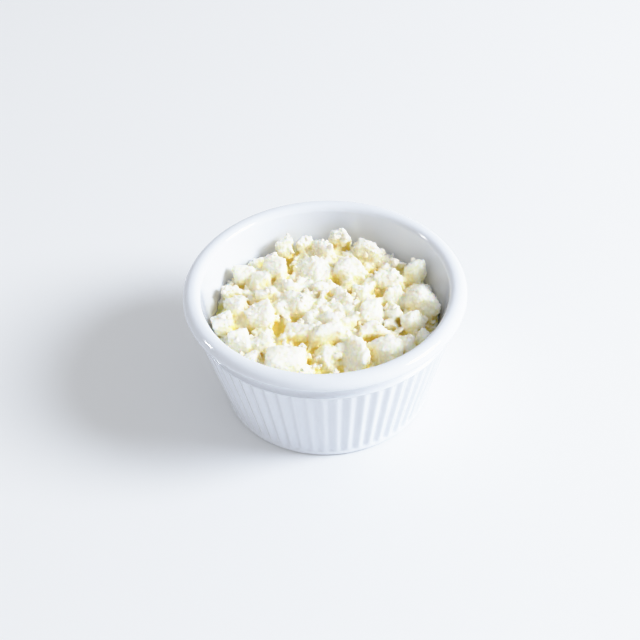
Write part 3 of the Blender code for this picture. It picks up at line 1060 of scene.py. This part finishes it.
def raise_grains(form):
    """Raises the grains along the skin's normals, and keeps them clear of the dish's wall."""
    moves = [corner.normal * grain_relief(corner.co, ragged_at(corner.co.x, corner.co.y))
             for corner in form.verts]
    for corner, move in zip(form.verts, moves):
        if corner.co.z < BED_CUT + NUDGE:
            continue
        corner.co += move
        room = inner_radius(corner.co.z) - WALL_GAP / 2
        reach = math.hypot(corner.co.x, corner.co.y)
        if reach > room:
            corner.co.x *= room / reach
            corner.co.y *= room / reach


raise_grains(heap_form)
heap_mesh = mesh_from(heap_form, "feta_heap")
print("heap corners:", len(heap_mesh.vertices))

# %% [markdown]
# Below that skin the dish is full of plain curd, which is never seen. It could be part of the
# fused heap, but voxels are wasted there. It is turned from its section like the dish, and rises
# a hair's breadth into the heap, so that no slit is left between the two.

# %% Core
core_section = [(0.0, BED_CUT + NUDGE), (inner_radius(BED_CUT) - WALL_GAP, BED_CUT + NUDGE)]
core_section += reversed(inside_section(WALL_GAP))
core_mesh = mesh_from(turned_form(core_section, BED_COLUMNS), "feta_core")
print("core corners:", len(core_mesh.vertices))

# %% [markdown]
# Feta is white where the light reaches it. Deep between the crumbs it is painted cream, then
# golden: painted shade for light that has passed through a lot of cheese. An Ambient Occlusion
# node could find those places, but only in the render, not in an exported model. So how open a
# spot is, is worked out once from a height map of the finished heap: looking in twelve
# directions, how high do the neighbours stand? In the open gaps it is lowered further, for
# deeper painted shade. The answer is stored on the mesh as an attribute, so the painted shade
# stays put in every view.

# %% Openness
LOOK_DIRECTIONS = 12
LOOK_DISTANCES = [distance * MM for distance in (0.7, 1.1, 1.6, 2.2, 3.0, 4.0, 5.5, 7.5, 10.0)]
GAP_SHADE = 0.65
GAP_SHADE_DROP = 2.5 * MM


def mesh_points(mesh):
    """The mesh's corners as rows of x, y and z."""
    points = np.empty(len(mesh.vertices) * 3)
    mesh.vertices.foreach_get("co", points)
    return points.reshape(-1, 3)


def raise_map(heights, points):
    """Raises a map to the highest point in each cell."""
    np.maximum.at(heights, (cell_of(points[:, 0]), cell_of(points[:, 1])), points[:, 2])


def openness(points):
    """Share of the sky that each point sees over its neighbours, from 0 to 1."""
    seen = np.zeros(len(points))
    for i in range(LOOK_DIRECTIONS):
        turn = math.tau * i / LOOK_DIRECTIONS
        steepest = np.zeros(len(points))
        for distance in LOOK_DISTANCES:
            rows = cell_of(points[:, 0] + distance * math.cos(turn))
            columns = cell_of(points[:, 1] + distance * math.sin(turn))
            steepest = np.maximum(steepest, (skin_heights[rows, columns] - points[:, 2]) / distance)
        seen += 1 - steepest / np.sqrt(1 + steepest ** 2)
    return seen / LOOK_DIRECTIONS


def store_openness(mesh):
    """Writes each corner's openness, lowered in the gaps, on the mesh, for the material's painted
    shade.
    """
    points = mesh_points(mesh)
    x, y, z = points.T
    low = np.clip((mound_height(np.hypot(x, y)) - z) / GAP_SHADE_DROP, 0, 1)
    shares = openness(points) * (1 - GAP_SHADE * low * gap_depth(x, y))
    attribute = mesh.attributes.new("openness", "FLOAT", "POINT")
    attribute.data.foreach_set("value", shares.astype(np.float32))
    return shares


skin_heights = bed_heights.copy()
raise_map(skin_heights, mesh_points(heap_mesh))
store_openness(core_mesh)
heap_shares = store_openness(heap_mesh)
print("openness of the heap:", [round(float(np.percentile(heap_shares, p)), 2) for p in (5, 50, 95)])

# %% [markdown]
# The cheese is a little see-through, which is what makes it glow: subsurface scattering does
# that in the shader. Its colour is a ramp over the openness, painted shade that turns from white
# to cream and gold as a spot is more sunken, pushed about by the shared noise so that the
# borders between white and gold are as blotchy as real curd. The loose bits get the same finish
# without the scattering, since they are smaller than the light's reach in cheese.

# %% Cheese finish
# painted shade: cream and gold are the colours of sunken, shaded curd; white is the open curd's own
# colour
GOLD_SHADE = (1.0, 0.785, 0.165)
DEEP_CREAM_SHADE = (1.0, 0.862, 0.455)
CREAM_SHADE = (0.99, 0.91, 0.67)
WHITE = (0.97, 0.925, 0.815)
CURD_SHADE_STOPS = ((0.08, GOLD_SHADE), (0.2, DEEP_CREAM_SHADE), (0.4, CREAM_SHADE), (0.8, WHITE))
BLOTCH_PUSH = 0.3
CURD_ROUGHNESS = 0.55
SEE_THROUGH = 0.9
LIGHT_REACH = 3.1 * MM
# shares of that reach for red, green and blue
LIGHT_SPREAD = (1.0, 0.8, 0.5)
TEXTURE_HEIGHT = 0.12 * MM
TEXTURE_STRENGTH = 0.6


def cheese_material(name, see_through):
    """Feta with painted golden shade where it is sunken, white where it is open, lit through by a
    share.
    """
    material, tree, shader = new_material(name)
    blotches = add_unevenness(tree, broad=320.0, fine=1500.0, share=0.4)
    pushed = scale_and_shift(tree, blotches, BLOTCH_PUSH, -BLOTCH_PUSH / 2)
    # painted shade, read from the openness and pushed about by the noise
    tone = add_values(tree, stored_value(tree, "openness"), pushed)
    tree.links.new(ramp(tree, tone, CURD_SHADE_STOPS), shader.inputs["Base Color"])
    shader.inputs["Roughness"].default_value = CURD_ROUGHNESS
    shader.inputs["Subsurface Weight"].default_value = see_through
    shader.inputs["Subsurface Radius"].default_value = LIGHT_SPREAD
    shader.inputs["Subsurface Scale"].default_value = LIGHT_REACH
    texture = add_unevenness(tree, broad=1500.0, fine=3500.0, share=0.3)
    bump = add_node(tree, "ShaderNodeBump", Height=texture, Strength=TEXTURE_STRENGTH,
                    Distance=TEXTURE_HEIGHT)
    tree.links.new(bump.outputs["Normal"], shader.inputs["Normal"])
    return material


curd = cheese_material("feta_curd", SEE_THROUGH)
loose_curd = cheese_material("feta_loose", 0.0)
print("cheese finishes:", curd.name, "and", loose_curd.name)
finish_piece(core_mesh, curd, "feta")
finish_piece(heap_mesh, curd, "feta")

# %% [markdown]
# Crumbling leaves bits of every size. The crumblets are like mustard seeds, and the grains like
# coarse salt. They could be a particle system, but its copies have no mesh of their own to
# export. Here each kind is one mesh: a dozen knobbly forms are made once, from balls of
# triangles that the same curd domes push out of shape.

# %% Knobbly forms
FORM_COUNT = 12
FORM_SPACING = (3.7, 1.3)
KNOB = 0.45
KNOB_LEVEL = 0.4
DENTS = 2.1


def knobbly_forms(subdivisions, shift):
    """A few uneven balls, as an array of corners for each, and the faces they share."""
    forms = []
    for number in range(FORM_COUNT):
        form = bmesh.new()
        bmesh.ops.create_icosphere(form, subdivisions=subdivisions, radius=0.5)
        offset = Vector((number * FORM_SPACING[0], number * FORM_SPACING[1], 0))
        for corner in form.verts:
            bulge = dome(corner.co + offset, KNOB) - KNOB_LEVEL
            dent = noise.noise(corner.co * DENTS + offset)
            corner.co *= 1 + shift * (bulge + dent)
        forms.append([corner.co[:] for corner in form.verts])
        faces = [[corner.index for corner in face.verts] for face in form.faces]
        form.free()
    return np.array(forms), np.array(faces)


print("knobbly forms of each kind:", FORM_COUNT)

# %% [markdown]
# The bits are copies of those forms, sized, stretched and turned every way. They lie on spots
# drawn from the heap's shown skin, a little more than half sunk in it, and far more of them lie
# on ragged crumbs than on clean ones. Small bits are more common than large ones.

# %% Crumblets and grains
LEAST_CHANCE = 0.03
RAGGED_POWER = 3
STRETCH = (0.65, 1.15)


def random_turns(draw, count):
    """Turn matrices in every direction, from random quaternions."""
    quaternions = draw.normal(size=(4, count))
    w, x, y, z = quaternions / np.linalg.norm(quaternions, axis=0)
    rows = [[1 - 2 * (y * y + z * z), 2 * (x * y - z * w), 2 * (x * z + y * w)],
            [2 * (x * y + z * w), 1 - 2 * (x * x + z * z), 2 * (y * z - x * w)],
            [2 * (x * z - y * w), 2 * (y * z + x * w), 1 - 2 * (x * x + y * y)]]
    return np.moveaxis(np.array(rows), 2, 0)


def shown_spots(mesh):
    """Place and normal of every corner that lies on the heap's shown surface and faces up."""
    points = mesh_points(mesh)
    normals = np.array([corner.normal[:] for corner in mesh.vertices])
    top = shown(points, SHOWN_MARGIN / 2) & (normals[:, 2] > 0)
    return np.hstack([points[top], normals[top]])


def strew(name, seed, count, widths, subdivisions, shift, sink):
    """Strews uneven bits over the shown spots of the heap, as one mesh."""
    draw = np.random.default_rng(seed)
    forms, faces = knobbly_forms(subdivisions, shift)
    chance = LEAST_CHANCE + ragged_at(spots[:, 0], spots[:, 1]) ** RAGGED_POWER
    at = spots[draw.choice(len(spots), count, p=chance / chance.sum())]
    sizes = widths[0] + (widths[1] - widths[0]) * draw.random(count) ** 2
    stretch = draw.uniform(*STRETCH, (count, 1, 3))
    bits = forms[draw.integers(0, len(forms), count)] * stretch * sizes[:, None, None]
    bits = np.einsum("nij,nkj->nki", random_turns(draw, count), bits)
    bits += (at[:, :3] + at[:, 3:] * (sizes * (0.5 - sink))[:, None])[:, None, :]
    corners = bits.reshape(-1, 3)
    room = inner_radius(corners[:, 2]) - WALL_GAP / 2
    pull = np.minimum(1, room / np.hypot(corners[:, 0], corners[:, 1]))
    corners[:, :2] *= pull[:, None]
    all_faces = (faces[None] + np.arange(count)[:, None, None] * forms.shape[1]).reshape(-1, 3)
    mesh = bpy.data.meshes.new(name)
    mesh.from_pydata(corners.tolist(), [], all_faces.tolist())
    # painted shade: the bits turn golden where they lie sunken, as the heap does
    store_openness(mesh)
    finish_piece(mesh, loose_curd, "feta")


spots = shown_spots(heap_mesh)
strew("feta_crumblets", seed=11, count=240, widths=(1.0 * MM, 2.4 * MM),
      subdivisions=3, shift=0.35, sink=0.6)
strew("feta_grains", seed=12, count=1000, widths=(0.4 * MM, 0.9 * MM),
      subdivisions=1, shift=0.5, sink=0.65)

# %% [markdown]
# The dish stands on a plain pale surface without an edge in view. A plane with one flat colour
# would look like paper, so the colour drifts by a hundredth, and a dull finish keeps the dish
# from mirroring in it.

# %% Table
TABLE_WIDTH = 4.0
TABLE_COLOUR = (0.838, 0.848, 0.862)
TABLE_DRIFT = 1.01
TABLE_ROUGHNESS = 0.7
TABLE_SPECULAR = 0.1


def table_material():
    """A dull, pale, nearly even surface."""
    material, tree, shader = new_material("table_top")
    lighter = tuple(part * TABLE_DRIFT for part in TABLE_COLOUR)
    drift = add_unevenness(tree, broad=3.0, fine=40.0, share=0.1)
    tone = ramp(tree, drift, [(NOISE_LOW, TABLE_COLOUR), (NOISE_HIGH, lighter)])
    tree.links.new(tone, shader.inputs["Base Color"])
    shader.inputs["Roughness"].default_value = TABLE_ROUGHNESS
    shader.inputs["Specular IOR Level"].default_value = TABLE_SPECULAR
    return material


table_form = bmesh.new()
bmesh.ops.create_grid(table_form, x_segments=1, y_segments=1, size=TABLE_WIDTH / 2)
table_mesh = mesh_from(table_form, "table")
table_mesh.materials.append(table_material())
table = bpy.data.objects.new("table", table_mesh)
scene.collection.objects.link(table)
print("table:", TABLE_WIDTH, "m across")

# %% [markdown]
# One big round softbox stands to the right and a little in front, and throws the long soft
# shadow to the left. A point lamp would be simpler, but its shadow has a hard edge all along,
# and this one grows softer with distance. A small, weak lamp on the left, a little behind, only
# gives the sparks on the lip: it is seen in gloss, but it lights nothing else.

# %% Lamps
KEY_COLOUR = (0.90, 0.938, 1.0)


def softbox(name, azimuth, elevation, distance, width, power, colour=(1.0, 1.0, 1.0)):
    """A round area light seen from the dish at an azimuth and elevation, facing the dish."""
    light = bpy.data.lights.new(name, "AREA")
    light.shape = "DISK"
    light.size = width
    light.energy = power
    light.color = colour
    lamp = bpy.data.objects.new(name, light)
    turn, rise = math.radians(azimuth), math.radians(elevation)
    flat = math.cos(rise)
    towards = Vector((math.cos(turn) * flat, math.sin(turn) * flat, math.sin(rise)))
    lamp.location = towards * distance
    lamp.rotation_euler = towards.to_track_quat("Z", "Y").to_euler()
    scene.collection.objects.link(lamp)
    return lamp


softbox("key", azimuth=-10, elevation=35, distance=1.4, width=0.66, power=17.6, colour=KEY_COLOUR)
spark = softbox("spark", azimuth=171, elevation=29, distance=1.0, width=0.14, power=1.4)
spark.visible_diffuse = False

# %% [markdown]
# A white room fills in the rest. It could be built as walls with more lamps, but a world
# background does the same for less: it is given a little more strength at the horizon than
# overhead, which is what shades the top of the lip against its sides.

# %% Room
ROOM_COLOUR = (0.985, 0.997, 1.015)
HORIZON_STRENGTH = 0.66
ZENITH_STRENGTH = 0.51

world = bpy.data.worlds.new("room")
scene.world = world
world.use_nodes = True
backdrop = world.node_tree.nodes["Background"]
backdrop.inputs["Color"].default_value = (*ROOM_COLOUR, 1.0)
looking = add_node(world.node_tree, "ShaderNodeTexCoord").outputs["Generated"]
upward = add_node(world.node_tree, "ShaderNodeSeparateXYZ", Vector=looking).outputs["Z"]
strength = add_node(world.node_tree, "ShaderNodeMapRange", Value=upward,
                    To_Min=HORIZON_STRENGTH, To_Max=ZENITH_STRENGTH).outputs["Result"]
world.node_tree.links.new(strength, backdrop.inputs["Strength"])
print("room light:", HORIZON_STRENGTH, "at the horizon,", ZENITH_STRENGTH, "overhead")

# %% [markdown]
# Nearly everything in the picture is white. Rendered as it is, the brightest spots would clip to
# a flat, burnt patch. They could be dimmed with the lamps, but that would grey the rest. A
# camera's tone curve bends over instead, and so does this one: it runs straight up to the bright
# tones and then flattens towards white.

# %% Tone of the picture
PICTURE_GAMMA = 1.2
SHOULDER_POINTS = ((0.45, 0.45), (0.88, 0.875), (1.12, 0.955))
SHOULDER_END = (1.6, 0.98)
COMBINED_CURVE = 3


def soften_highlights():
    """Bends the picture's tone curve over at its bright end, as a camera does."""
    scene.view_settings.use_curve_mapping = True
    mapping = scene.view_settings.curve_mapping
    mapping.clip_max_x = SHOULDER_END[0]
    curve = mapping.curves[COMBINED_CURVE]
    curve.points[-1].location = SHOULDER_END
    for place in SHOULDER_POINTS:
        curve.points.new(*place)
    mapping.update()


scene.view_settings.view_transform = "Standard"
scene.view_settings.gamma = PICTURE_GAMMA
soften_highlights()
print("gamma:", PICTURE_GAMMA, "and points on the tone curve:", len(SHOULDER_POINTS) + 2)
